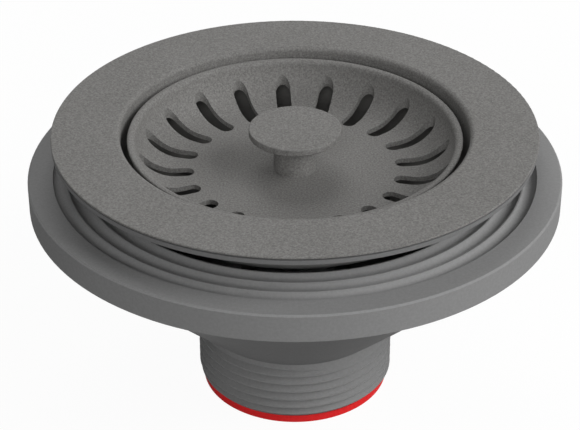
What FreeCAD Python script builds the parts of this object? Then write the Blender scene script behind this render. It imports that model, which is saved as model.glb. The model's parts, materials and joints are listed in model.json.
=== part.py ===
import FreeCAD
import Part
import math
import os

# Basket strainer waste for a kitchen sink, in millimetres.
# The origin is on the axis, in the plane where the flange seal lies on the sink. +Z is up.
# An upper cup with a flange hangs in the sink's hole. A lower body is drawn up under the sink
# by one screw in the middle, and a basket with a stopper drops into the cup.

# Flange and cup
cup_radius = 41.0
flange_width = 16.0
sheet = 0.8
edge_round = 0.25
edge_lip = 0.35
edge_undercut = 0.9
flange_roll = 1.1
cup_wall_depth = 9.5
cup_corner = 5.0
cup_floor_fall = 10.0
drain_seat_depth = 17.0
drain_seat_radius = 24.0
well_radius = 18.5
well_lip_round = 1.2
well_corner = 1.5
well_depth = 9.0
drain_spoke_count = 4
drain_spoke = 3.2
drain_window_wall = 1.2

# Flange seal
flange_seal = 1.2
flange_seal_setback = 0.1
flange_seal_inset = 0.2
flange_seal_bevel = 0.2

# Basket
rim_below_flange = 2.0
basket_gap = 1.6
basket_wall = 1.8
basket_floor = 1.2
basket_depth = 9.1
basket_corner_above_rim = 0.5
basket_wall_lean = 9.0
rim_edge_round = 0.4
slot_count = 20
slot_width = 3.7
slot_outside_stopper = 0.9
slot_inside_rim = 2.65
slot_first_angle = 95.0

# Knob
knob_radius = 10.9
knob_edge = 1.7
knob_edge_round = 0.3
knob_below_flange = 0.4
knob_underside_fall = 0.9
knob_stem_radius = 5.05
knob_stem_round = 1.2
knob_spigot_radius = 3.6

# Stopper, its plate and its stem
stopper_setback = 1.0
stopper_web = 1.8
stopper_lip = 3.0
stopper_flare = 2.0
seal_plate_radius = 11.0
seal_plate = 1.0
stem_core_radius = 2.5
stem_core_reach = 7.0
stem_collar_radius = 5.0
stem_collar = 0.9
stem_radius = 3.0
stem_length = 5.9
stem_tip_bevel = 0.8
socket_radius = 3.6
catch_ring_thickness = 1.2
catch_ring_below_collar = 3.8
catch_groove_width = 1.4

# Clamp screw, its washer and its nut
screw_radius = 4.0
screw_length = 29.0
screw_tip_bevel = 1.0
screw_head_radius = 7.5
screw_head = 8.0
screw_head_bevel = 0.6
driver_slot_width = 1.6
driver_slot_depth = 2.0
socket_depth = 6.5
washer_radius = 8.6
washer = 0.8
nut_across_flats = 13.0
nut_height = 10.0

# Lower body
clamp_gap = 8.55
mouth_clearance = 3.7
rim_width = 15.7
rim_ledge = 1.7
body_rim_height = 2.0
body_wall = 2.5
neck_radius = 23.9
bowl_bulge = 0.5
bowl_height = 35.6
outlet_wall = 3.9
shoulder_step = 2.0
shoulder_drop = 4.4
thread_length = 14.7
thread_lead_in = 1.2
thread_lead_in_step = 1.0
rim_web_count = 12
rim_web = 1.8

# Bridge with the nut's hub, held up against the shoulder in the body's outlet
hub_radius = 10.0
hub_drop = 22.0
hub_height = 14.0
hub_shoulder = 2.0
bridge_ring = 3.5
bridge_ring_width = 2.95
bridge_rib_count = 4
bridge_rib = 3.0
bridge_rib_drop = 4.0
bridge_overlap = 1.0
spoke_first_angle = 45.0

# Seal on the lower body, with round coves between sharp lips
body_seal_skirt = 1.75
body_seal_height = 6.65
body_seal_bevel = 0.4
body_seal_thickness = 3.45
seal_ring_width = 5.9
seal_lip_count = 3
seal_lip_from_mouth = 1.15
seal_lip_land = 0.3
seal_lip_drop = 1.5
seal_last_cove_share = 0.88
seal_cove_depth_share = 0.45

# Outlet gasket
gasket = 1.9
gasket_wall = 1.35
gasket_spigot = 4.0

# Clearances
loose_fit = 0.05
shank_clearance = 0.4
socket_clearance = 0.05
hook_clearance = 0.25
throat_clearance = 0.4
cut_margin = 1.0

# Radii that several pieces share
flange_radius = cup_radius + flange_width
basket_radius = cup_radius - basket_gap
basket_corner = basket_depth + basket_corner_above_rim
stopper_radius = drain_seat_radius - stopper_setback
body_mouth_radius = cup_radius + sheet + mouth_clearance
body_rim_radius = body_mouth_radius + rim_width
bowl_top_radius = body_rim_radius - rim_ledge
outlet_bore_radius = neck_radius - outlet_wall
throat_radius = outlet_bore_radius - shoulder_step
outlet_end_radius = neck_radius - thread_lead_in_step

# Heights that several pieces share
flange_top = flange_seal + sheet
seat_z = flange_top - drain_seat_depth
well_floor_z = seat_z - well_depth
basket_rim_z = flange_top - rim_below_flange
basket_floor_z = basket_rim_z - basket_depth
basket_underside_z = basket_floor_z - basket_floor
stopper_web_z = basket_underside_z - stopper_web
seal_plate_z = stopper_web_z - seal_plate
collar_z = seal_plate_z - stem_collar
stem_tip_z = collar_z - stem_length
head_underside_z = well_floor_z + washer
head_top_z = head_underside_z + screw_head
seal_ring_z = -clamp_gap
rim_top_z = seal_ring_z - body_seal_thickness
rim_underside_z = rim_top_z - body_rim_height
seal_bottom_z = seal_ring_z - body_seal_height
neck_top_z = rim_underside_z - bowl_height
thread_end_z = neck_top_z - thread_length
outlet_end_z = thread_end_z - thread_lead_in
shoulder_z = neck_top_z - shoulder_drop
hub_top_z = rim_underside_z - hub_drop
hub_bottom_z = hub_top_z - hub_height
nut_top_z = hub_top_z - hub_shoulder


def section(start, *steps):
    """Closed face in the XZ plane. A step is a point (r, z) or an arc (middle point, end point)."""
    edges = []
    here = FreeCAD.Vector(start[0], 0, start[1])
    first = here
    for step in steps:
        if isinstance(step[0], tuple):
            middle = FreeCAD.Vector(step[0][0], 0, step[0][1])
            there = FreeCAD.Vector(step[1][0], 0, step[1][1])
            edges.append(Part.Arc(here, middle, there).toShape())
        else:
            there = FreeCAD.Vector(step[0], 0, step[1])
            edges.append(Part.LineSegment(here, there).toShape())
        here = there
    edges.append(Part.LineSegment(here, first).toShape())
    return Part.Face(Part.Wire(edges))


def turned(start, *steps):
    """Solid of revolution about the Z axis."""
    face = section(start, *steps)
    return face.revolve(FreeCAD.Vector(0, 0, 0), FreeCAD.Vector(0, 0, 1), 360)


def bend(centre, radius, from_degrees, to_degrees):
    """Arc step about a centre: its middle point and its end point."""
    points = []
    for degrees in ((from_degrees + to_degrees) / 2, to_degrees):
        angle = math.radians(degrees)
        points.append((centre[0] + radius * math.cos(angle), centre[1] + radius * math.sin(angle)))
    return tuple(points)


def bar(inner, outer, width, bottom, top, degrees):
    """Radial bar with square ends, turned to an angle about Z."""
    block = Part.makeBox(outer - inner, width, top - bottom, FreeCAD.Vector(inner, -width / 2, bottom))
    block.rotate(FreeCAD.Vector(0, 0, 0), FreeCAD.Vector(0, 0, 1), degrees)
    return block


def slot_cutter(inner, outer, width, bottom, top, degrees):
    """Upright slot with round ends, along a radius."""
    half = width / 2
    cutter = bar(inner + half, outer - half, width, bottom, top, 0)
    for centre in (inner + half, outer - half):
        end = Part.makeCylinder(half, top - bottom, FreeCAD.Vector(centre, 0, bottom))
        cutter = cutter.fuse(end)
    cutter = cutter.removeSplitter()
    cutter.rotate(FreeCAD.Vector(0, 0, 0), FreeCAD.Vector(0, 0, 1), degrees)
    return cutter


def even_angles(count, first=0.0):
    return [first + 360.0 / count * index for index in range(count)]


def make_rosette():
    corner = (cup_radius - cup_corner, flange_top - cup_wall_depth)
    fall = cup_floor_fall
    roll = (cup_radius + flange_roll, flange_top - flange_roll)
    lip = (well_radius + well_lip_round, seat_z - well_lip_round)
    heel = (well_radius - well_corner, well_floor_z + well_corner)
    cup_floor_end = bend(corner, cup_corner, 0, fall - 90)[1]
    bore = screw_radius + shank_clearance
    under_seat = seat_z - sheet
    shell = turned(
        (bore, well_floor_z),
        (heel[0], well_floor_z),
        bend(heel, well_corner, -90, 0),
        (well_radius, lip[1]),
        bend(lip, well_lip_round, 180, 90),
        (drain_seat_radius, seat_z),
        cup_floor_end,
        bend(corner, cup_corner, fall - 90, 0),
        (cup_radius, roll[1]),
        bend(roll, flange_roll, 180, 90),
        (flange_radius - edge_round, flange_top),
        bend((flange_radius - edge_round, flange_top - edge_round), edge_round, 90, 0),
        (flange_radius, flange_top - edge_lip),
        (flange_radius - edge_undercut, flange_seal),
        (roll[0], flange_seal),
        bend(roll, flange_roll - sheet, 90, 180),
        (cup_radius + sheet, corner[1]),
        bend(corner, cup_corner + sheet, 0, fall - 90),
        (drain_seat_radius, under_seat),
        (lip[0], under_seat),
        bend(lip, well_lip_round - sheet, 90, 180),
        (well_radius + sheet, heel[1]),
        bend(heel, well_corner + sheet, 0, -90),
        (bore, well_floor_z - sheet),
    )
    window_bottom = well_floor_z - sheet - cut_margin
    window_top = well_floor_z + cut_margin
    window_inner = washer_radius + drain_window_wall
    windows = turned(
        (window_inner, window_bottom),
        (heel[0], window_bottom),
        (heel[0], window_top),
        (window_inner, window_top),
    )
    for degrees in even_angles(drain_spoke_count, spoke_first_angle):
        windows = windows.cut(bar(0, cup_radius, drain_spoke, window_bottom, window_top, degrees))
    return shell.cut(windows)


def make_rosette_seal():
    inner = cup_radius + flange_roll + flange_seal_inset
    outer = flange_radius - flange_seal_setback
    return turned(
        (inner, 0),
        (outer - flange_seal_bevel, 0),
        (outer, flange_seal_bevel),
        (outer, flange_seal),
        (inner, flange_seal),
    )


def make_basket():
    corner = (basket_radius - basket_wall - basket_corner, basket_floor_z + basket_corner)
    lean = basket_wall_lean
    wall_top = bend(corner, basket_corner, -90, -lean)
    lip_round = (basket_rim_z - wall_top[1][1]) / (1 - math.sin(math.radians(lean)))
    lip = (wall_top[1][0] + lip_round * math.cos(math.radians(lean)), basket_rim_z - lip_round)
    rim = (basket_radius - rim_edge_round, basket_rim_z - rim_edge_round)
    outside_round = basket_corner + basket_wall
    outside_corner = (corner[0], basket_underside_z + outside_round)
    outside_top = bend(outside_corner, outside_round, -90, -lean)[1]
    hole = knob_spigot_radius + loose_fit
    bowl = turned(
        (hole, basket_floor_z),
        (corner[0], basket_floor_z),
        wall_top,
        bend(lip, lip_round, 180 - lean, 90),
        (rim[0], basket_rim_z),
        bend(rim, rim_edge_round, 90, 0),
        outside_top,
        bend(outside_corner, outside_round, -lean, -90),
        (hole, basket_underside_z),
    )
    for degrees in even_angles(slot_count, slot_first_angle):
        cutter = slot_cutter(
            stopper_radius + slot_outside_stopper, basket_radius - slot_inside_rim, slot_width,
            basket_underside_z - cut_margin, basket_rim_z, degrees,
        )
        bowl = bowl.cut(cutter)
    return bowl


def make_knob():
    top = flange_top - knob_below_flange
    under = top - knob_edge
    stem_top = under - knob_underside_fall
    core = stem_core_radius + loose_fit
    core_top = basket_floor_z + stem_core_reach
    return turned(
        (0, top),
        (0, core_top),
        (core, core_top),
        (core, basket_underside_z),
        (knob_spigot_radius, basket_underside_z),
        (knob_spigot_radius, basket_floor_z),
        (knob_stem_radius, basket_floor_z),
        (knob_stem_radius, stem_top - knob_stem_round),
        bend((knob_stem_radius + knob_stem_round, stem_top - knob_stem_round), knob_stem_round, 180, 90),
        (knob_radius - knob_edge_round, under),
        bend((knob_radius - knob_edge_round, under + knob_edge_round), knob_edge_round, -90, 0),
        (knob_radius, top - knob_edge_round),
        bend((knob_radius - knob_edge_round, top - knob_edge_round), knob_edge_round, 0, 90),
    )


def make_stopper_seal():
    hole = stem_core_radius + loose_fit
    lip_inner = stopper_radius - stopper_lip
    return turned(
        (hole, basket_underside_z),
        (stopper_radius - stopper_flare, basket_underside_z),
        (stopper_radius, basket_underside_z - stopper_flare),
        (stopper_radius, seat_z),
        (lip_inner, seat_z),
        (lip_inner, stopper_web_z - stopper_flare / 2),
        (lip_inner - stopper_flare / 2, stopper_web_z),
        (hole, stopper_web_z),
    )


def make_seal_plate():
    return turned(
        (stem_core_radius + loose_fit, stopper_web_z),
        (seal_plate_radius, stopper_web_z),
        (seal_plate_radius, seal_plate_z),
        (stem_core_radius + loose_fit, seal_plate_z),
    )


def catch_ring_centre():
    """Radius and height of the middle of the catch ring's section."""
    ring_radius = socket_radius - socket_clearance - catch_ring_thickness / 2
    return ring_radius, collar_z - catch_ring_below_collar


def make_catch_stem():
    ring_radius, ring_z = catch_ring_centre()
    groove = ring_radius - catch_ring_thickness / 2 - loose_fit
    core_top = basket_floor_z + stem_core_reach - loose_fit
    return turned(
        (0, core_top),
        (stem_core_radius, core_top),
        (stem_core_radius, seal_plate_z),
        (stem_collar_radius, seal_plate_z),
        (stem_collar_radius, collar_z),
        (stem_radius, collar_z),
        (stem_radius, ring_z + catch_groove_width / 2),
        (groove, ring_z + catch_groove_width / 2),
        (groove, ring_z - catch_groove_width / 2),
        (stem_radius, ring_z - catch_groove_width / 2),
        (stem_radius, stem_tip_z + stem_tip_bevel),
        (stem_radius - stem_tip_bevel, stem_tip_z),
        (0, stem_tip_z),
    )


def make_catch_ring():
    ring_radius, ring_z = catch_ring_centre()
    return Part.makeTorus(ring_radius, catch_ring_thickness / 2, FreeCAD.Vector(0, 0, ring_z))


def make_screw_washer():
    return turned(
        (screw_radius + shank_clearance, well_floor_z),
        (washer_radius, well_floor_z),
        (washer_radius, head_underside_z),
        (screw_radius + shank_clearance, head_underside_z),
    )


def make_clamp_screw():
    tip_z = head_underside_z - screw_length
    screw = turned(
        (0, head_top_z - socket_depth),
        (socket_radius, head_top_z - socket_depth),
        (socket_radius, head_top_z),
        (screw_head_radius - screw_head_bevel, head_top_z),
        (screw_head_radius, head_top_z - screw_head_bevel),
        (screw_head_radius, head_underside_z),
        (screw_radius, head_underside_z),
        (screw_radius, tip_z + screw_tip_bevel),
        (screw_radius - screw_tip_bevel, tip_z),
        (0, tip_z),
    )
    driver = bar(
        -screw_head_radius, screw_head_radius, driver_slot_width,
        head_top_z - driver_slot_depth, head_top_z + driver_slot_depth, 0,
    )
    return screw.cut(driver)


def hexagon(across_flats, bottom, top):
    """Upright hexagonal prism about the Z axis."""
    corner_radius = across_flats / math.sqrt(3)
    corners = []
    for degrees in even_angles(6):
        angle = math.radians(degrees)
        x = corner_radius * math.cos(angle)
        y = corner_radius * math.sin(angle)
        corners.append(FreeCAD.Vector(x, y, bottom))
    face = Part.Face(Part.makePolygon(corners + corners[:1]))
    return face.extrude(FreeCAD.Vector(0, 0, top - bottom))


def make_insert_nut():
    nut_bottom_z = nut_top_z - nut_height
    nut = hexagon(nut_across_flats, nut_bottom_z, nut_top_z)
    bore = Part.makeCylinder(screw_radius + loose_fit, nut_height, FreeCAD.Vector(0, 0, nut_bottom_z))
    return nut.cut(bore)


def bowl_slope():
    """Rise of the bowl's straight outer slope per millimetre of radius."""
    return bowl_height / (bowl_top_radius - neck_radius)


def bowl_outside():
    """Points of the bowl's outer slope: its top, its bulged middle and its foot."""
    top = (bowl_top_radius, rim_underside_z)
    foot = (neck_radius, neck_top_z)
    down = bowl_bulge / math.hypot(1, bowl_slope())
    middle = ((top[0] + foot[0]) / 2 + down * bowl_slope(), (top[1] + foot[1]) / 2 - down)
    return top, middle, foot


def bowl_inside_z(radius):
    """Height of the bowl's inner slope, one wall inside the straight outer slope."""
    return neck_top_z + (radius - neck_radius) * bowl_slope() + body_wall * math.hypot(1, bowl_slope())


def bowl_inside_radius(height):
    """Radius of the bowl's inner slope at a height."""
    return neck_radius + (height - bowl_inside_z(neck_radius)) / bowl_slope()


def make_waste_body():
    top, middle, foot = bowl_outside()
    envelope = turned(
        (0, rim_top_z),
        (body_rim_radius, rim_top_z),
        (body_rim_radius, rim_underside_z),
        top,
        (middle, foot),
        (neck_radius, thread_end_z),
        (outlet_end_radius, outlet_end_z),
        (0, outlet_end_z),
    )
    hollow = turned(
        (0, rim_top_z),
        (body_mouth_radius, rim_top_z),
        (body_mouth_radius, bowl_inside_z(body_mouth_radius)),
        (throat_radius, bowl_inside_z(throat_radius)),
        (throat_radius, shoulder_z),
        (outlet_bore_radius, shoulder_z),
        (outlet_bore_radius, outlet_end_z),
        (0, outlet_end_z),
    )
    pocket_inner = body_mouth_radius + body_wall
    pocket = turned(
        (pocket_inner, rim_top_z),
        (bowl_inside_radius(rim_top_z), rim_top_z),
        (pocket_inner, bowl_inside_z(pocket_inner)),
    )
    for degrees in even_angles(rim_web_count):
        web = bar(body_mouth_radius, body_rim_radius, rim_web, thread_end_z, rim_top_z, degrees)
        pocket = pocket.cut(web)
    return envelope.cut(hollow).cut(pocket).removeSplitter()


def make_hub_bridge():
    ring_bottom = shoulder_z - bridge_ring
    ring_outer = outlet_bore_radius - loose_fit
    ring_inner = ring_outer - bridge_ring_width
    bridge = turned(
        (ring_inner, ring_bottom),
        (ring_outer, ring_bottom),
        (ring_outer, shoulder_z),
        (ring_inner, shoulder_z),
    )
    hub = turned(
        (screw_radius + shank_clearance, hub_bottom_z),
        (hub_radius, hub_bottom_z),
        (hub_radius, hub_top_z),
        (screw_radius + shank_clearance, hub_top_z),
    )
    nut_seat = hexagon(nut_across_flats + 2 * loose_fit, hub_bottom_z, nut_top_z)
    bridge = bridge.fuse(hub.cut(nut_seat))
    rib_inner = hub_radius - bridge_overlap
    rib_outer = throat_radius - throat_clearance
    for degrees in even_angles(bridge_rib_count, spoke_first_angle):
        rib = bar(rib_inner, rib_outer, bridge_rib, ring_bottom, hub_top_z - bridge_rib_drop, degrees)
        bridge = bridge.fuse(rib)
    return bridge.removeSplitter()


def make_body_seal():
    inner = body_mouth_radius
    skirt = body_rim_radius + loose_fit
    outer = skirt + body_seal_skirt
    hook = bowl_top_radius + hook_clearance
    ring_inner = outer - seal_ring_width
    half_land = seal_lip_land / 2
    first_lip = inner + seal_lip_from_mouth
    lip_pitch = (ring_inner - first_lip) / (seal_lip_count - 1 + seal_last_cove_share)
    lips = [first_lip + lip_pitch * index for index in range(seal_lip_count)]
    steps = []
    for lip, next_lip in zip(lips, lips[1:] + [ring_inner + half_land]):
        start = lip + half_land
        end = next_lip - half_land
        bottom_z = seal_ring_z - seal_cove_depth_share * (end - start)
        steps.append((start, seal_ring_z))
        steps.append((((start + end) / 2, bottom_z), (end, seal_ring_z)))
    return turned(
        (inner, rim_top_z),
        (inner, seal_ring_z - seal_lip_drop),
        (first_lip - half_land, seal_ring_z),
        *steps,
        (outer - body_seal_bevel, seal_ring_z),
        (outer, seal_ring_z - body_seal_bevel),
        (outer, seal_bottom_z),
        (hook, seal_bottom_z),
        (hook, rim_underside_z - loose_fit),
        (skirt, rim_underside_z - loose_fit),
        (skirt, rim_top_z),
    )


def make_outlet_gasket():
    spigot_radius = outlet_bore_radius - loose_fit
    inner = spigot_radius - gasket_wall
    return turned(
        (inner, outlet_end_z + gasket_spigot),
        (inner, outlet_end_z - gasket),
        (outlet_end_radius, outlet_end_z - gasket),
        (outlet_end_radius, outlet_end_z),
        (spigot_radius, outlet_end_z),
        (spigot_radius, outlet_end_z + gasket_spigot),
    )


pieces = {
    "rosette": make_rosette,
    "rosette_seal": make_rosette_seal,
    "strainer_basket": make_basket,
    "basket_knob": make_knob,
    "stopper_seal": make_stopper_seal,
    "seal_plate": make_seal_plate,
    "catch_stem": make_catch_stem,
    "catch_ring": make_catch_ring,
    "screw_washer": make_screw_washer,
    "clamp_screw": make_clamp_screw,
    "insert_nut": make_insert_nut,
    "waste_body": make_waste_body,
    "hub_bridge": make_hub_bridge,
    "body_seal": make_body_seal,
    "outlet_gasket": make_outlet_gasket,
}

os.makedirs("parts", exist_ok=True)
for name, make in pieces.items():
    (solid,) = make().Solids
    solid.exportStep(os.path.join("parts", name + ".step"))
    box = solid.optimalBoundingBox()
    print(
        name, "valid", solid.isValid(), "volume", round(solid.Volume, 1),
        "z", round(box.ZMin, 2), round(box.ZMax, 2), "radius", round(box.XMax, 2),
    )
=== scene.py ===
# %% [markdown]
# # Basket strainer waste
# A sink's drain fitting: a coated flange with a cup, a lift-out basket with a knob, and a grey
# moulded body that a screw pulls up under the sink. The solids already have the right sizes, so
# this script loads them, gives each one its finish, and cuts the threads that the solids leave plain.

# %% Load the solids
import json
import math

import bmesh
import bpy
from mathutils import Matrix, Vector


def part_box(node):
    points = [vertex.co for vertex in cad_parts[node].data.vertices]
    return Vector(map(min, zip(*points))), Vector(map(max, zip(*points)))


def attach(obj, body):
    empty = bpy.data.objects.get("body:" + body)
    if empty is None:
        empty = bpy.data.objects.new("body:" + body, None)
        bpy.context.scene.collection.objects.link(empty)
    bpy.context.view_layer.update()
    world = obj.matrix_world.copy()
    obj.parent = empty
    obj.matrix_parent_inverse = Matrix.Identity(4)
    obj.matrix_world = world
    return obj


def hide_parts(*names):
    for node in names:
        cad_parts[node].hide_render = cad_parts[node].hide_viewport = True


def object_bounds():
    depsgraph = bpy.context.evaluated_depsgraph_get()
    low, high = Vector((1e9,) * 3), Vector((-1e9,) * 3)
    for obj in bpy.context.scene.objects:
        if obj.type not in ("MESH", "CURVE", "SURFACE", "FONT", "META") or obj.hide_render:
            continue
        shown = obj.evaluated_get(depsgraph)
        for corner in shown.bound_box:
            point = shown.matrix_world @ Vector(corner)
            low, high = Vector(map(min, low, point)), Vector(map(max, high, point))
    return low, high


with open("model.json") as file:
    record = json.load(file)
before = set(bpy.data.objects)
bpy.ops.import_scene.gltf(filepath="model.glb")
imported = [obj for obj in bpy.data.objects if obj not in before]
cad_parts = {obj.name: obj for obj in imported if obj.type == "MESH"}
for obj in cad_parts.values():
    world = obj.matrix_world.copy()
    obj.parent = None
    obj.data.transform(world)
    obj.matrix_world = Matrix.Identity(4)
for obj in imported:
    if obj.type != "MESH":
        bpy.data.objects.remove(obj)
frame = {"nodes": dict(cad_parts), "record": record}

MM = 0.001

nodes = frame["nodes"]
solid_low, solid_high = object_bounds()
print("loaded", len(nodes), "solids")
print("solid box", [round(v, 4) for v in solid_low], [round(v, 4) for v in solid_high])

# %% [markdown]
# Node trees are put together from a few small steps that come back again and again: link a socket or
# set its value, do some arithmetic, turn a range into a mask, blend two colours. Each step gets a helper
# here. Most of them work in shader trees and in Geometry Nodes alike, because both share these nodes.

# %% Node helpers


def wire(tree, value, socket):
    """Link a socket to another one, or set a plain value on it."""
    if isinstance(value, bpy.types.NodeSocket):
        tree.links.new(value, socket)
    else:
        socket.default_value = value


def maths(tree, operation, *values):
    """A socket with a Math node's result over sockets or numbers."""
    node = tree.nodes.new("ShaderNodeMath")
    node.operation = operation
    for value, socket in zip(values, node.inputs):
        wire(tree, value, socket)
    return node.outputs["Value"]


def vector(tree, x, y, z):
    """A socket with a vector of three sockets or numbers."""
    node = tree.nodes.new("ShaderNodeCombineXYZ")
    for value, socket in zip((x, y, z), node.inputs):
        wire(tree, value, socket)
    return node.outputs["Vector"]


def flat_length(tree, x, y):
    """A socket with the length of the flat vector x, y."""
    node = tree.nodes.new("ShaderNodeVectorMath")
    node.operation = "LENGTH"
    wire(tree, vector(tree, x, y, 0.0), node.inputs[0])
    return node.outputs["Value"]


def ramp(tree, value, first, last, low=0.0, high=1.0, smooth=False):
    """A socket that goes from low to high as the value goes from first to last."""
    node = tree.nodes.new("ShaderNodeMapRange")
    node.interpolation_type = "SMOOTHSTEP" if smooth else "LINEAR"
    wire(tree, value, node.inputs["Value"])
    wire(tree, first, node.inputs["From Min"])
    wire(tree, last, node.inputs["From Max"])
    wire(tree, low, node.inputs["To Min"])
    wire(tree, high, node.inputs["To Max"])
    return node.outputs["Result"]


def blend_colours(tree, factor, first, second):
    """A socket that goes from the first colour to the second as the factor goes from 0 to 1."""
    node = tree.nodes.new("ShaderNodeMix")
    node.data_type = "RGBA"
    wire(tree, factor, node.inputs["Factor"])
    wire(tree, first, node.inputs["A"])
    wire(tree, second, node.inputs["B"])
    return node.outputs["Result"]


def blend_shaders(tree, factor, first, second):
    """A socket with the first shader where the factor is 0, and the second where it is 1."""
    node = tree.nodes.new("ShaderNodeMixShader")
    for value, socket in zip((factor, first, second), node.inputs):
        wire(tree, value, socket)
    return node.outputs["Shader"]


print("node helpers ready")

# %% [markdown]
# A surface pattern starts from a place on the piece. Object coordinates stay fixed to it, so a speckle
# doesn't swim when a joint moves. Everything here is round about one axis, so two numbers say where a
# point is: its distance from that axis and its height. Noise mostly stays near 0.5, so its middle
# stretch is spread over the full range.

# %% Pattern helpers
NOISE_LOW = 0.3
NOISE_HIGH = 0.7


def object_place(tree):
    return tree.nodes.new("ShaderNodeTexCoord").outputs["Object"]


def distance_and_height(tree):
    """Sockets with a point's distance from the part's axis and its height."""
    split = tree.nodes.new("ShaderNodeSeparateXYZ")
    wire(tree, object_place(tree), split.inputs["Vector"])
    return flat_length(tree, split.outputs["X"], split.outputs["Y"]), split.outputs["Z"]


def spread_noise(tree, place, scale, detail, roughness=0.5, dimensions="3D", low=0.0, high=1.0):
    """A socket with noise that fills the range from low to high."""
    noise = tree.nodes.new("ShaderNodeTexNoise")
    noise.noise_dimensions = dimensions
    noise.inputs["Detail"].default_value = detail
    noise.inputs["Roughness"].default_value = roughness
    wire(tree, place, noise.inputs["Vector"])
    wire(tree, scale, noise.inputs["Scale"])
    return ramp(tree, noise.outputs["Fac"], NOISE_LOW, NOISE_HIGH, low, high)


def new_group(name, inputs, outputs):
    """A shader node group with named sockets, and the sockets to use inside it."""
    group = bpy.data.node_groups.new(name, "ShaderNodeTree")
    for label, kind, value in inputs:
        socket = group.interface.new_socket(label, in_out="INPUT", socket_type=kind)
        socket.default_value = value
    for label, kind in outputs:
        group.interface.new_socket(label, in_out="OUTPUT", socket_type=kind)
    given = group.nodes.new("NodeGroupInput").outputs
    result = group.nodes.new("NodeGroupOutput").inputs
    return group, given, result


print("pattern helpers ready")

# %% [markdown]
# A shared effect is best kept in a shader node group: it is built once, and each finish sets its own
# values. This one is the grain of a sprayed or moulded skin, as a colour and as a height.

# %% Grain group


def grain_group():
    group, given, result = new_group(
        "skin_grain",
        [
            ("Dark", "NodeSocketColor", (0.1, 0.1, 0.1, 1)),
            ("Light", "NodeSocketColor", (0.2, 0.2, 0.2, 1)),
            ("Grains per metre", "NodeSocketFloat", 2600.0),
        ],
        [("Color", "NodeSocketColor"), ("Height", "NodeSocketFloat")],
    )
    place = object_place(group)
    grain = spread_noise(group, place, given["Grains per metre"], detail=2.0, roughness=0.65)
    wire(group, blend_colours(group, grain, given["Dark"], given["Light"]), result["Color"])
    wire(group, grain, result["Height"])
    return group


skin_grain = grain_group()
print("made", skin_grain.name)

# %% [markdown]
# No surface is equally smooth all over. Wide, soft patches of slightly different roughness break up
# the reflection of a lamp, which is how the eye tells a real skin from a flat colour.

# %% Sheen patches group


def patches_group():
    group, given, result = new_group(
        "sheen_patches",
        [
            ("Smoothest", "NodeSocketFloat", 0.4),
            ("Roughest", "NodeSocketFloat", 0.6),
            ("Patches per metre", "NodeSocketFloat", 60.0),
        ],
        [("Roughness", "NodeSocketFloat")],
    )
    patches = spread_noise(
        group,
        object_place(group),
        given["Patches per metre"],
        detail=3.0,
        low=given["Smoothest"],
        high=given["Roughest"],
    )
    wire(group, patches, result["Roughness"])
    return group


sheen_patches = patches_group()
print("made", sheen_patches.name)

# %% [markdown]
# Turned metal carries fine rings from the lathe. Every metal piece here is turned about the same
# axis, so the rings come from one flat noise over the distance from that axis and the height on it.

# %% Lathe rings group


def rings_group():
    group, given, result = new_group(
        "lathe_rings",
        [
            ("Dark", "NodeSocketColor", (0.4, 0.4, 0.4, 1)),
            ("Light", "NodeSocketColor", (0.6, 0.6, 0.6, 1)),
            ("Rings per metre", "NodeSocketFloat", 6000.0),
        ],
        [("Color", "NodeSocketColor"), ("Height", "NodeSocketFloat")],
    )
    distance, height = distance_and_height(group)
    section = vector(group, distance, height, 0.0)
    rings = spread_noise(group, section, given["Rings per metre"], detail=1.0, dimensions="2D")
    wire(group, blend_colours(group, rings, given["Dark"], given["Light"]), result["Color"])
    wire(group, rings, result["Height"])
    return group


lathe_rings = rings_group()
print("made", lathe_rings.name)

# %% [markdown]
# A finish is one Principled BSDF. The groups feed only what changes over the surface: its colour,
# its roughness and the height of a Bump. Whatever is the same all over is set on the shader itself.

# %% Finish helper


def grey(level):
    """Linear grey for a level from 0 to 255 as a picture shows it."""
    share = level / 255
    return share / 12.92 if share <= 0.04045 else ((share + 0.055) / 1.055) ** 2.4


def colour(red, green, blue):
    return (grey(red), grey(green), grey(blue), 1)


def place_group(tree, group, values):
    """A group's node in a tree, with its own values."""
    node = tree.nodes.new("ShaderNodeGroup")
    node.node_tree = group
    for label, value in values.items():
        node.inputs[label].default_value = value
    return node


def finish(name, pattern, pattern_values, sheen_values, bump_depth, metallic=0.0, specular=0.5):
    material = bpy.data.materials.new(name)
    material.use_nodes = True
    tree = material.node_tree
    shader = tree.nodes["Principled BSDF"]
    shader.inputs["Metallic"].default_value = metallic
    shader.inputs["Specular IOR Level"].default_value = specular
    skin = place_group(tree, pattern, pattern_values)
    sheen = place_group(tree, sheen_patches, sheen_values)
    bump = tree.nodes.new("ShaderNodeBump")
    bump.inputs["Strength"].default_value = 1.0
    bump.inputs["Distance"].default_value = bump_depth
    wire(tree, skin.outputs["Color"], shader.inputs["Base Color"])
    wire(tree, sheen.outputs["Roughness"], shader.inputs["Roughness"])
    wire(tree, skin.outputs["Height"], bump.inputs["Height"])
    wire(tree, bump.outputs["Normal"], shader.inputs["Normal"])
    return material


print("finish helper ready")

# %% [markdown]
# The flange is sprayed metal, and the basket and knob are plastic sprayed to match. Up close the
# coat is a warm grey with a fine speckle, so both use the grain group with a darker and a lighter grey.

# %% Coat finishes
coat_grain = {
    "Dark": colour(103, 102, 100),
    "Light": colour(138, 137, 135),
    "Grains per metre": 2300.0,
}
coat_sheen = {"Smoothest": 0.55, "Roughest": 0.7, "Patches per metre": 40.0}
coat_depth = 0.03 * MM


def coated(name):
    return finish(name, skin_grain, coat_grain, coat_sheen, coat_depth, specular=0.1)


coated_metal = coated("coated_metal")
coated_plastic = coated("coated_plastic")
print("finishes", coated_metal.name, coated_plastic.name)

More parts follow.
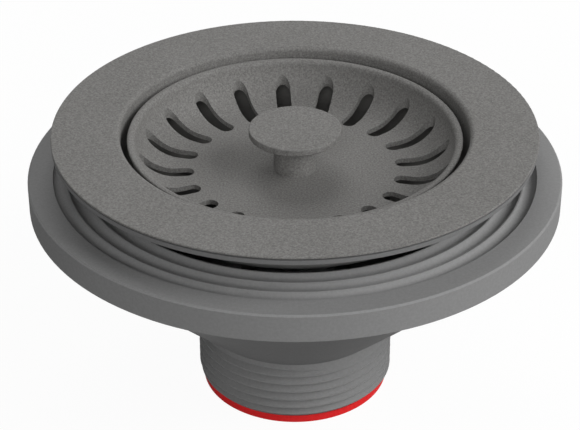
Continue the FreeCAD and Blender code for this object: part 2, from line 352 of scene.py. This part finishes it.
# %% [markdown]
# The spray reaches the top of the flange. Deep in the cup the coat turns to a dark grey, which is
# painted shade for the cup under the basket. The outside of the cup, which the sink hides, is a pale
# grey: partly its own uncoated grey and partly painted light for the shaded gap under the flange. Masks
# over the distance from the axis and the height tell those zones apart. The cup's wall runs down to a
# round corner, so its inner and outer face differ by how far they are from the centre of that corner.

# %% Cup painted shade and light
# Painted shade: a dark grey for the shade deep in the cup under the basket.
cup_painted_shade = colour(88, 87, 85)
# Partly the cup's own uncoated grey, partly painted light for the shaded gap under the flange.
bare_outside_and_painted_light = colour(172, 172, 170)
painted_shade_starts_at = -6.0 * MM
painted_shade_full_at = -9.0 * MM
corner_radius = 36.0 * MM
corner_height = -7.5 * MM
corner_round = 5.0 * MM
wall_middle = (corner_round + 0.3 * MM, corner_round + 0.5 * MM)
corner_edge = (corner_radius, corner_radius + 0.4 * MM)
flange_underside = (1.2 * MM, 1.0 * MM)


def bare_outside_and_light_mask(tree, distance, height):
    """A socket that is 1 on the outer face of the cup, under the flange, where the painted light goes.
    """
    beyond = maths(tree, "MAXIMUM", maths(tree, "SUBTRACT", distance, corner_radius), 0.0)
    below = maths(tree, "MAXIMUM", maths(tree, "SUBTRACT", corner_height, height), 0.0)
    outer_face = ramp(tree, flat_length(tree, beyond, below), *wall_middle)
    past_corner = ramp(tree, distance, *corner_edge)
    under_flange = ramp(tree, height, *flange_underside)
    return maths(tree, "MULTIPLY", maths(tree, "MULTIPLY", outer_face, past_corner), under_flange)


def add_cup_shade_and_light(material):
    tree = material.node_tree
    base_color = tree.nodes["Principled BSDF"].inputs["Base Color"]
    coat = base_color.links[0].from_socket
    distance, height = distance_and_height(tree)
    # Painted shade: the coat darkens towards the bottom of the cup.
    painted_shade_amount = ramp(tree, height, painted_shade_starts_at, painted_shade_full_at)
    coat_with_painted_shade = blend_colours(tree, painted_shade_amount, coat, cup_painted_shade)
    # The outer face turns pale: partly its own uncoated grey, partly painted light.
    outside = bare_outside_and_light_mask(tree, distance, height)
    wire(tree, blend_colours(tree, outside, coat_with_painted_shade, bare_outside_and_painted_light), base_color)


add_cup_shade_and_light(coated_metal)
print("cup zones on", coated_metal.name)

# %% [markdown]
# The seals and the body are moulded, so their grain is shallow and almost one grey. The seals are a
# little duller than the body. The gasket under the flange is a darker grey than both, which is painted
# shade: it stands in for the shade that the flange's edge casts on it.

# %% Moulded finishes


def moulded(name, dark, light, smoothest, roughest, patches, depth, specular):
    grain = {"Dark": dark, "Light": light, "Grains per metre": 1500.0}
    sheen = {"Smoothest": smoothest, "Roughest": roughest, "Patches per metre": patches}
    return finish(name, skin_grain, grain, sheen, depth, specular=specular)


seal_grey = moulded(
    "seal_grey",
    dark=colour(141, 141, 141),
    light=colour(148, 148, 148),
    smoothest=0.65,
    roughest=0.78,
    patches=45.0,
    depth=0.008 * MM,
    specular=0.04,
)
# Painted shade: a darker grey for the shade under the flange's edge.
gasket_grey = moulded(
    "gasket_grey",
    dark=colour(121, 121, 121),
    light=colour(127, 127, 127),
    smoothest=0.65,
    roughest=0.78,
    patches=45.0,
    depth=0.008 * MM,
    specular=0.04,
)
body_plastic = moulded(
    "body_plastic",
    dark=colour(138, 138, 138),
    light=colour(145, 145, 145),
    smoothest=0.62,
    roughest=0.75,
    patches=45.0,
    depth=0.008 * MM,
    specular=0.04,
)
print("finishes", seal_grey.name, gasket_grey.name, body_plastic.name)

# %% [markdown]
# The gasket on the outlet is a plain red rubber. The stopper under the basket and the ring on its pin
# are nearly black, and the washer under the screw's head is a pale, smoother plastic.

# %% Rubber and washer finishes
red_rubber = moulded(
    "red_rubber",
    dark=colour(234, 42, 44),
    light=colour(244, 50, 52),
    smoothest=0.6,
    roughest=0.72,
    patches=60.0,
    depth=0.008 * MM,
    specular=0.1,
)
dark_rubber = moulded(
    "dark_rubber",
    dark=colour(34, 34, 34),
    light=colour(44, 44, 44),
    smoothest=0.5,
    roughest=0.65,
    patches=60.0,
    depth=0.01 * MM,
    specular=0.3,
)
washer_plastic = moulded(
    "washer_plastic",
    dark=colour(146, 146, 144),
    light=colour(156, 156, 154),
    smoothest=0.4,
    roughest=0.5,
    patches=80.0,
    depth=0.006 * MM,
    specular=0.5,
)
print("finishes", red_rubber.name, dark_rubber.name, washer_plastic.name)

# %% [markdown]
# The screw, the stem and the plate are turned stainless steel, and the nut is brass. Metal takes its
# colour from what it reflects, so the base colour is pale and the lathe's rings do the rest.

# %% Metal finishes
ring_depth = 0.01 * MM


def turned(name, dark, light, smoothest, roughest):
    rings = {"Dark": dark, "Light": light, "Rings per metre": 5000.0}
    sheen = {"Smoothest": smoothest, "Roughest": roughest, "Patches per metre": 120.0}
    return finish(name, lathe_rings, rings, sheen, ring_depth, metallic=1.0)


steel = turned("steel", colour(176, 176, 178), colour(204, 204, 206), smoothest=0.26, roughest=0.38)
brass = turned("brass", colour(198, 160, 92), colour(222, 186, 116), smoothest=0.28, roughest=0.4)
print("finishes", steel.name, brass.name)

# %% [markdown]
# Each solid keeps its shape and takes its finish through its own material slots. The record names the
# slot of every node, so a short table from slot to finish does it.

# %% Dress the solids
finishes = {
    "coated_metal": coated_metal,
    "coated_plastic": coated_plastic,
    "seal_grey": seal_grey,
    "gasket_grey": gasket_grey,
    "body_plastic": body_plastic,
    "red_rubber": red_rubber,
    "dark_rubber": dark_rubber,
    "washer_plastic": washer_plastic,
    "steel": steel,
    "brass": brass,
}
slot_of = {row["node"]: row["material_slot"] for row in frame["record"]["subparts"]}
for name, node in nodes.items():
    node.data.materials.clear()
    node.data.materials.append(finishes[slot_of[name]])
print("dressed", len(nodes), "solids")

# %% [markdown]
# The outlet and the screw carry threads, and a thread follows a rule: a groove of one section swept
# along a helix. Geometry Nodes can make that from a few named sizes. A straight curve is bent into a
# helix by Set Position, and a four-sided section is ready to be swept along it. Towards its end the
# helix moves outwards, so the groove fades away as a die leaves it.

# %% Helix and section
RUN_OUT_SHARE = 1.1
OVERCUT_SHARE = 0.15


def helix_curve(tree, given):
    """A curve socket with the helix that the groove follows."""
    straight = tree.nodes.new("GeometryNodeCurvePrimitiveLine")
    divided = tree.nodes.new("GeometryNodeResampleCurve")
    wire(tree, straight.outputs["Curve"], divided.inputs["Curve"])
    point_count = maths(tree, "MULTIPLY", given["Turns"], given["Points per turn"])
    wire(tree, point_count, divided.inputs["Count"])
    along = tree.nodes.new("GeometryNodeSplineParameter").outputs["Factor"]
    turns = maths(tree, "MULTIPLY", along, given["Turns"])
    angle = maths(tree, "ADD", maths(tree, "MULTIPLY", turns, math.tau), given["Start angle"])
    height = maths(tree, "ADD", maths(tree, "MULTIPLY", turns, given["Pitch"]), given["Start height"])
    fade_start = maths(tree, "SUBTRACT", given["Turns"], given["Run out turns"])
    way_out = maths(tree, "MULTIPLY", given["Depth"], RUN_OUT_SHARE)
    fade = ramp(tree, turns, fade_start, given["Turns"], high=way_out, smooth=True)
    reach = maths(tree, "ADD", given["Radius"], fade)
    x = maths(tree, "MULTIPLY", reach, maths(tree, "COSINE", angle))
    y = maths(tree, "MULTIPLY", reach, maths(tree, "SINE", angle))
    helix = tree.nodes.new("GeometryNodeSetPosition")
    wire(tree, divided.outputs["Curve"], helix.inputs["Geometry"])
    wire(tree, vector(tree, x, y, height), helix.inputs["Position"])
    upright = tree.nodes.new("GeometryNodeSetCurveNormal")
    upright.mode = "Z_UP"
    wire(tree, helix.outputs["Geometry"], upright.inputs["Curve"])
    return upright.outputs["Curve"]


def groove_section(tree, given):
    """A curve socket with the groove's section, which starts a little outside the surface."""
    inward = maths(tree, "MULTIPLY", given["Depth"], -1.0)
    outward = maths(tree, "MULTIPLY", given["Depth"], OVERCUT_SHARE)
    root = given["Root half width"]
    mouth = given["Mouth half width"]
    under_root = maths(tree, "MULTIPLY", root, -1.0)
    under_mouth = maths(tree, "MULTIPLY", mouth, -1.0)
    section = tree.nodes.new("GeometryNodeCurvePrimitiveQuadrilateral")
    section.mode = "POINTS"
    wire(tree, vector(tree, inward, root, 0.0), section.inputs["Point 1"])
    wire(tree, vector(tree, inward, under_root, 0.0), section.inputs["Point 2"])
    wire(tree, vector(tree, outward, under_mouth, 0.0), section.inputs["Point 3"])
    wire(tree, vector(tree, outward, mouth, 0.0), section.inputs["Point 4"])
    return section.outputs["Curve"]


print("helix and section ready")

# %% [markdown]
# Curve to Mesh sweeps the section along the helix, and Mesh Boolean takes the result out of a copy of
# the solid. The tree's inputs are the sizes, so one tree serves every thread.

# %% Thread tree
THREAD_SIZES = [
    "Radius",
    "Depth",
    "Pitch",
    "Turns",
    "Start angle",
    "Start height",
    "Mouth half width",
    "Root half width",
    "Run out turns",
]


def thread_tree():
    tree = bpy.data.node_groups.new("cut_thread", "GeometryNodeTree")
    tree.interface.new_socket("Geometry", in_out="INPUT", socket_type="NodeSocketGeometry")
    for label in THREAD_SIZES:
        tree.interface.new_socket(label, in_out="INPUT", socket_type="NodeSocketFloat")
    tree.interface.new_socket("Points per turn", in_out="INPUT", socket_type="NodeSocketInt")
    tree.interface.new_socket("Material", in_out="INPUT", socket_type="NodeSocketMaterial")
    tree.interface.new_socket("Geometry", in_out="OUTPUT", socket_type="NodeSocketGeometry")
    given = tree.nodes.new("NodeGroupInput").outputs
    result = tree.nodes.new("NodeGroupOutput").inputs
    groove = tree.nodes.new("GeometryNodeCurveToMesh")
    groove.inputs["Fill Caps"].default_value = True
    wire(tree, helix_curve(tree, given), groove.inputs["Curve"])
    wire(tree, groove_section(tree, given), groove.inputs["Profile Curve"])
    cut = tree.nodes.new("GeometryNodeMeshBoolean")
    cut.operation = "DIFFERENCE"
    cut.solver = "EXACT"
    wire(tree, given["Geometry"], cut.inputs["Mesh 1"])
    wire(tree, groove.outputs["Mesh"], cut.inputs["Mesh 2"])
    plain = tree.nodes.new("GeometryNodeRealizeInstances")
    wire(tree, cut.outputs["Mesh"], plain.inputs["Geometry"])
    dressed = tree.nodes.new("GeometryNodeSetMaterial")
    wire(tree, plain.outputs["Geometry"], dressed.inputs["Geometry"])
    wire(tree, given["Material"], dressed.inputs["Material"])
    wire(tree, dressed.outputs["Geometry"], result["Geometry"])
    return tree


cut_thread = thread_tree()
print("made", cut_thread.name, "with", len(cut_thread.nodes), "nodes")

# %% [markdown]
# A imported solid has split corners, so its copy is welded first: a boolean needs a closed mesh. It also
# brings fixed normals along, which no longer fit after a cut, so the copy drops them. After the cut,
# new_from_object turns the evaluated result into a plain mesh, and edges sharper than a chosen angle
# stay crisp while the rest is shaded smooth.

# %% Threading helper
WELD_DISTANCE = 0.0005 * MM
CRISP_ANGLE = math.radians(22)


def welded_copy(node_name):
    mesh = nodes[node_name].data.copy()
    mesh.attributes.remove(mesh.attributes["custom_normal"])
    welded = bmesh.new()
    welded.from_mesh(mesh)
    bmesh.ops.remove_doubles(welded, verts=welded.verts, dist=WELD_DISTANCE)
    bmesh.ops.recalc_face_normals(welded, faces=welded.faces)
    welded.to_mesh(mesh)
    welded.free()
    return mesh


def threaded(node_name, sizes, material):
    """A copy of a solid with a thread cut into it."""
    mesh = welded_copy(node_name)
    piece = bpy.data.objects.new(node_name + "_threaded", mesh)
    bpy.context.scene.collection.objects.link(piece)
    modifier = piece.modifiers.new("thread", "NODES")
    modifier.node_group = cut_thread
    values = dict(sizes, Material=material)
    for item in cut_thread.interface.items_tree:
        if item.in_out == "INPUT" and item.name in values:
            modifier[item.identifier] = values[item.name]
    evaluated = piece.evaluated_get(bpy.context.evaluated_depsgraph_get())
    result = bpy.data.meshes.new_from_object(evaluated)
    piece.modifiers.remove(modifier)
    piece.data = result
    bpy.data.meshes.remove(mesh)
    for face in result.polygons:
        face.use_smooth = True
    result.set_sharp_from_angle(angle=CRISP_ANGLE)
    return piece


print("threading helper ready")

# %% [markdown]
# The outlet takes a trap's nut, so it has a standard pipe thread: a pitch of 2.309 mm and flanks of
# 55 degrees. The record's mount says how wide the outlet is and where it ends at the top. The thread
# starts at the outlet's open end and fades out in front, just under the bowl.

# %% Outlet thread
outlet_mount = next(mount for mount in frame["record"]["mounts"] if mount["name"] == "outlet_thread")
outlet_top = outlet_mount["pos_m"][2] + outlet_mount["dims"]["length_mm"] / 2 * MM
outlet_pitch = 2.309 * MM
outlet_turns = 6.5
outlet_plain_band = 2.1 * MM
outlet_end_angle = math.radians(-62)
outlet_end_height = outlet_top - outlet_plain_band
outlet_sizes = {
    "Radius": outlet_mount["dims"]["r_mm"] * MM,
    "Depth": 1.48 * MM,
    "Pitch": outlet_pitch,
    "Turns": outlet_turns,
    "Start angle": outlet_end_angle - outlet_turns * math.tau,
    "Start height": outlet_end_height - outlet_turns * outlet_pitch,
    "Mouth half width": 1.07 * MM,
    "Root half width": 0.19 * MM,
    "Run out turns": 0.13,
    "Points per turn": 120,
}
waste_body = threaded("waste_body", outlet_sizes, body_plastic)
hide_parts("waste_body")
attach(waste_body, "waste")
print("outlet thread cut:", len(waste_body.data.polygons), "faces")

# %% [markdown]
# The clamp screw has an ordinary M8 thread, made by the same tree with smaller sizes. It starts below
# the screw's tip, so the groove runs out at the end face.

# %% Screw thread
screw_pitch = 1.25 * MM
screw_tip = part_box("clamp_screw")[0].z
screw_sizes = {
    "Radius": 4.0 * MM,
    "Depth": 0.767 * MM,
    "Pitch": screw_pitch,
    "Turns": 17.0,
    "Start angle": 0.0,
    "Start height": screw_tip - screw_pitch,
    "Mouth half width": 0.6 * MM,
    "Root half width": 0.1 * MM,
    "Run out turns": 0.5,
    "Points per turn": 40,
}
clamp_screw = threaded("clamp_screw", screw_sizes, steel)
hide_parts("clamp_screw")
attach(clamp_screw, "screw")
print("screw thread cut:", len(clamp_screw.data.polygons), "faces")

# %% Floor
floor_reach = 3.0
floor_gap = 0.05 * MM
floor_height = solid_low.z - floor_gap
floor_mesh = bpy.data.meshes.new("floor")
floor_mesh.from_pydata(
    [
        (-floor_reach, -floor_reach, floor_height),
        (floor_reach, -floor_reach, floor_height),
        (floor_reach, floor_reach, floor_height),
        (-floor_reach, floor_reach, floor_height),
    ],
    [],
    [(0, 1, 2, 3)],
)
floor = bpy.data.objects.new("floor", floor_mesh)
bpy.context.scene.collection.objects.link(floor)
print("floor at", round(floor_height / MM, 2), "mm")

# %% [markdown]
# A camera ray sees the floor as white, with a little of its real shading mixed in so that the part's
# shadow stays. For light that bounces it is a dim grey, so the underside of the bowl stays dark. Light
# Path tells the rays apart. Seen from below the floor is clear, because Backfacing is 1 there, so the
# underside of the part can be looked at too.

# %% Floor finish
WHITE = (1, 1, 1, 1)
bounce_grey = (0.12, 0.12, 0.12, 1)
white_share = 0.95


def seen_directly(tree):
    """A socket that is 1 for rays that come from the camera, a reflection or glass."""
    rays = tree.nodes.new("ShaderNodeLightPath").outputs
    camera_or_reflection = maths(tree, "MAXIMUM", rays["Is Camera Ray"], rays["Is Glossy Ray"])
    return maths(tree, "MAXIMUM", camera_or_reflection, rays["Is Transmission Ray"])


def floor_finish():
    material = bpy.data.materials.new("pale_floor")
    material.use_nodes = True
    tree = material.node_tree
    direct = seen_directly(tree)
    shaded = tree.nodes["Principled BSDF"]
    shaded.inputs["Roughness"].default_value = 0.9
    wire(tree, blend_colours(tree, direct, bounce_grey, WHITE), shaded.inputs["Base Color"])
    white = tree.nodes.new("ShaderNodeEmission").outputs["Emission"]
    share = maths(tree, "MULTIPLY", direct, white_share)
    from_above = blend_shaders(tree, share, shaded.outputs["BSDF"], white)
    clear = tree.nodes.new("ShaderNodeBsdfTransparent").outputs["BSDF"]
    from_below = tree.nodes.new("ShaderNodeNewGeometry").outputs["Backfacing"]
    surface = blend_shaders(tree, from_below, from_above, clear)
    wire(tree, surface, tree.nodes["Material Output"].inputs["Surface"])
    return material


floor_mesh.materials.append(floor_finish())
print("floor finish", floor_mesh.materials[0].name)

# %% [markdown]
# The world has a node tree of its own, and the same helpers serve it. The sky adds almost no light, but
# a ray that sees it directly finds a white backdrop.

# %% World
sky_strength = 0.05
world = bpy.data.worlds.new("studio")
bpy.context.scene.world = world
world.use_nodes = True
sky_tree = world.node_tree
sky = sky_tree.nodes["Background"]
sky.inputs["Color"].default_value = WHITE
sky.inputs["Strength"].default_value = sky_strength
backdrop = sky_tree.nodes.new("ShaderNodeBackground")
backdrop.inputs["Color"].default_value = WHITE
view = blend_shaders(
    sky_tree,
    seen_directly(sky_tree),
    sky.outputs["Background"],
    backdrop.outputs["Background"],
)
wire(sky_tree, view, sky_tree.nodes["World Output"].inputs["Surface"])
print("world", world.name)

# %% [markdown]
# Soft studio light comes from three large lamps: the key on the right makes the round sides turn from
# light to dark, one in front opens the shadows, and one behind lights the far side of the cup. Each one
# is turned towards the middle of the part.

# %% Lamps


def lamp(name, place, size, watts):
    light = bpy.data.lights.new(name, "AREA")
    light.shape = "DISK"
    light.size = size
    light.energy = watts
    holder = bpy.data.objects.new(name, light)
    holder.location = place
    aim = solid_low.lerp(solid_high, 0.5) - holder.location
    holder.rotation_euler = aim.to_track_quat("-Z", "Y").to_euler()
    bpy.context.scene.collection.objects.link(holder)
    print("lamp", name, watts, "watts")


lamp("key_right", place=(1.0, -0.25, 0.6), size=1.0, watts=11.5)
lamp("fill_front", place=(-0.1, -1.1, 0.55), size=0.8, watts=6.5)
lamp("rim_back", place=(-0.12, 0.8, 0.88), size=0.8, watts=5.0)

# %% [markdown]
# The camera has the photo's viewing angle: it stands in front, about 31 degrees above the horizon, with
# a long lens. A small shift places the part in the frame.

# %% Camera
camera_data = bpy.data.cameras.new("camera")
camera_data.sensor_fit = "HORIZONTAL"
camera_data.sensor_width = 36.0
camera_data.lens = 117.79
camera_data.shift_x = -0.00857
camera = bpy.data.objects.new("camera", camera_data)
camera.location = (0.0, -0.38987, 0.21654)
camera.rotation_euler = (math.radians(58.496), 0.0, 0.0)
bpy.context.scene.collection.objects.link(camera)
bpy.context.scene.camera = camera
bpy.context.scene.view_settings.view_transform = "Standard"
print("camera ready")
